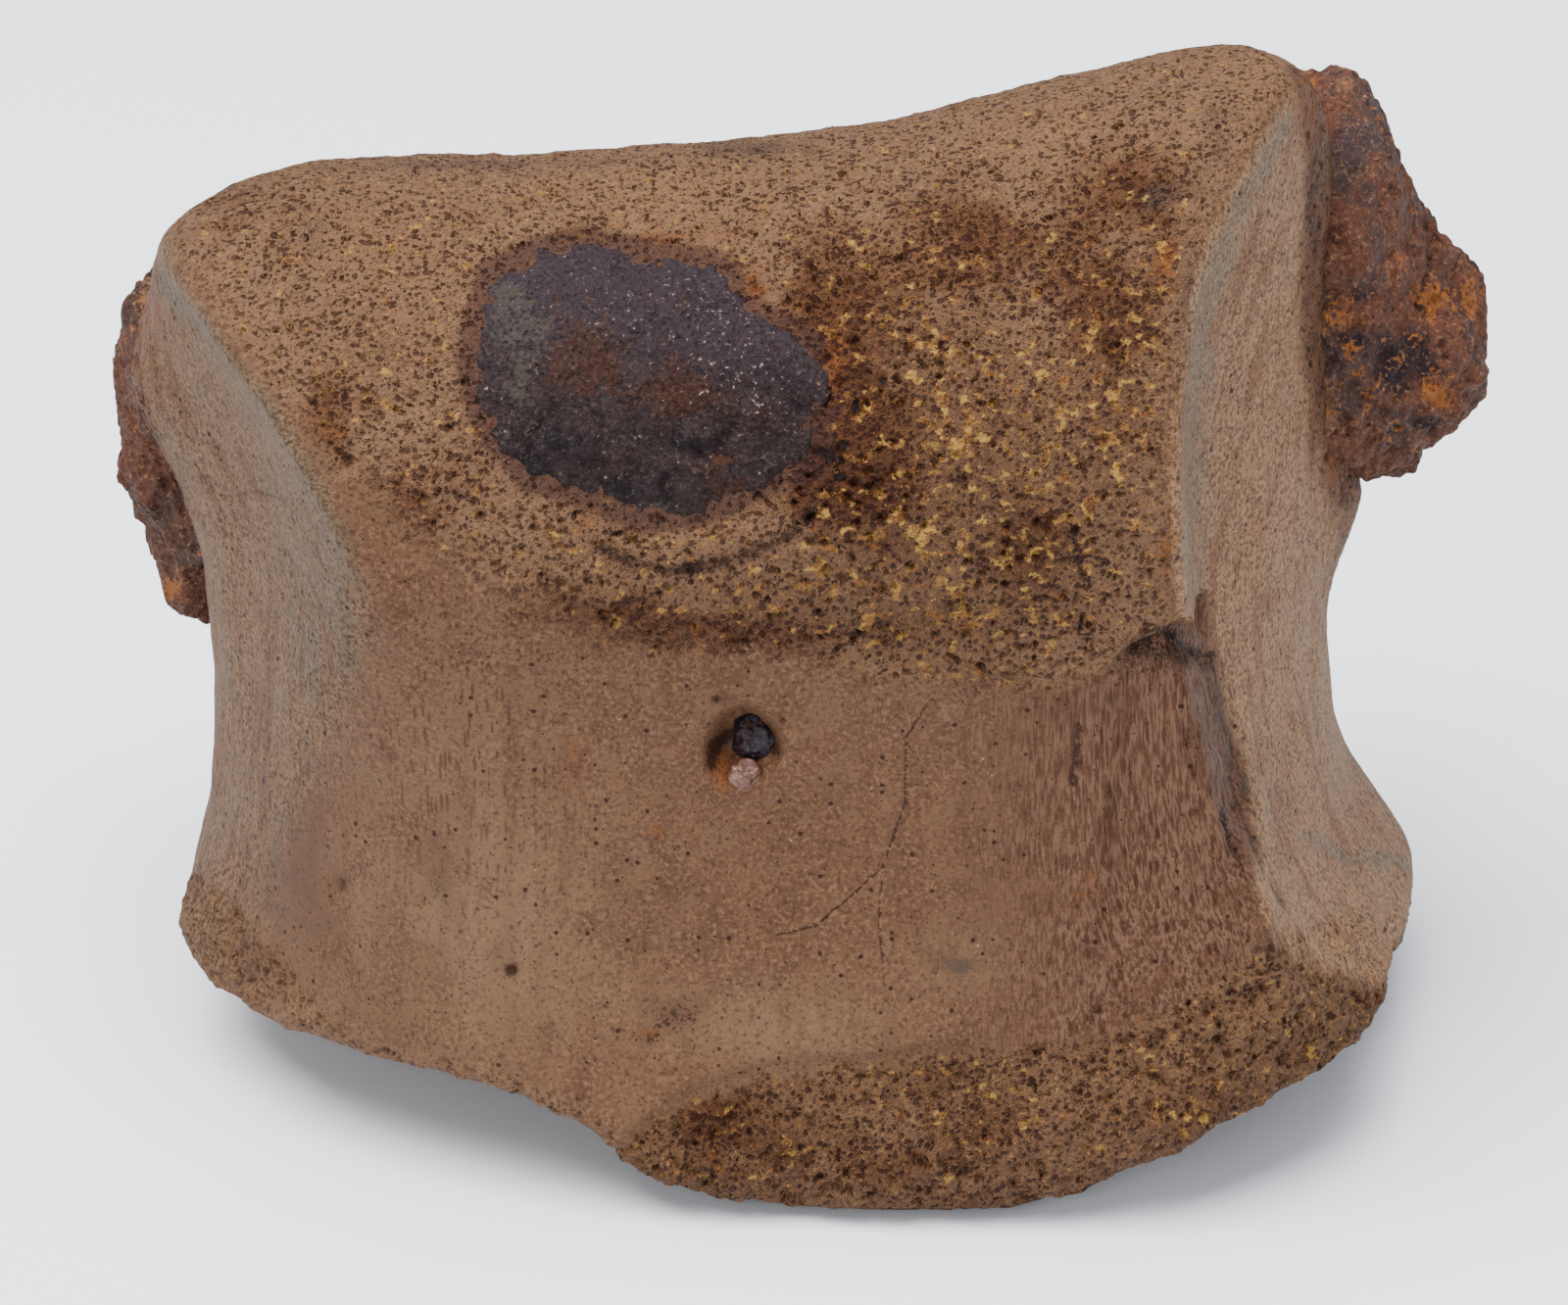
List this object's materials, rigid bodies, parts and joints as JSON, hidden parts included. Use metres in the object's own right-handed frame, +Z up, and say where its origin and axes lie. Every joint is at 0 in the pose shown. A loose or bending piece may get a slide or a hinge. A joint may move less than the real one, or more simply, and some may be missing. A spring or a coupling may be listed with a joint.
{
  "type": "fossil toe bone",
  "caption": "Life-size fossil toe bone of a horned dinosaur: saddle-shaped roller on top, waisted shaft, dished socket end below, ironstone crusts on its flanks and front.",
  "frame": {"origin": "middle of the outline box, on the floor", "axes": "+Z up from the socket end to the roller, +X to the right of the pictured front, which faces -Y"},
  "size_m": [0.1216, 0.0712, 0.0932],
  "materials": {
    "fossil_bone": "matt, stone-hard fossil bone with fine pores",
    "rusty_ironstone": "rough rusty ironstone",
    "brown_ironstone": "rough brown ironstone",
    "dark_ironstone": "smooth dark ironstone, slightly satin"
  },
  "bodies": {
    "root": {"phalanx": "fossil_bone", "ironstone_right": "rusty_ironstone", "ironstone_left": "brown_ironstone", "ironstone_patch": "dark_ironstone"}
  },
  "joints": []
}
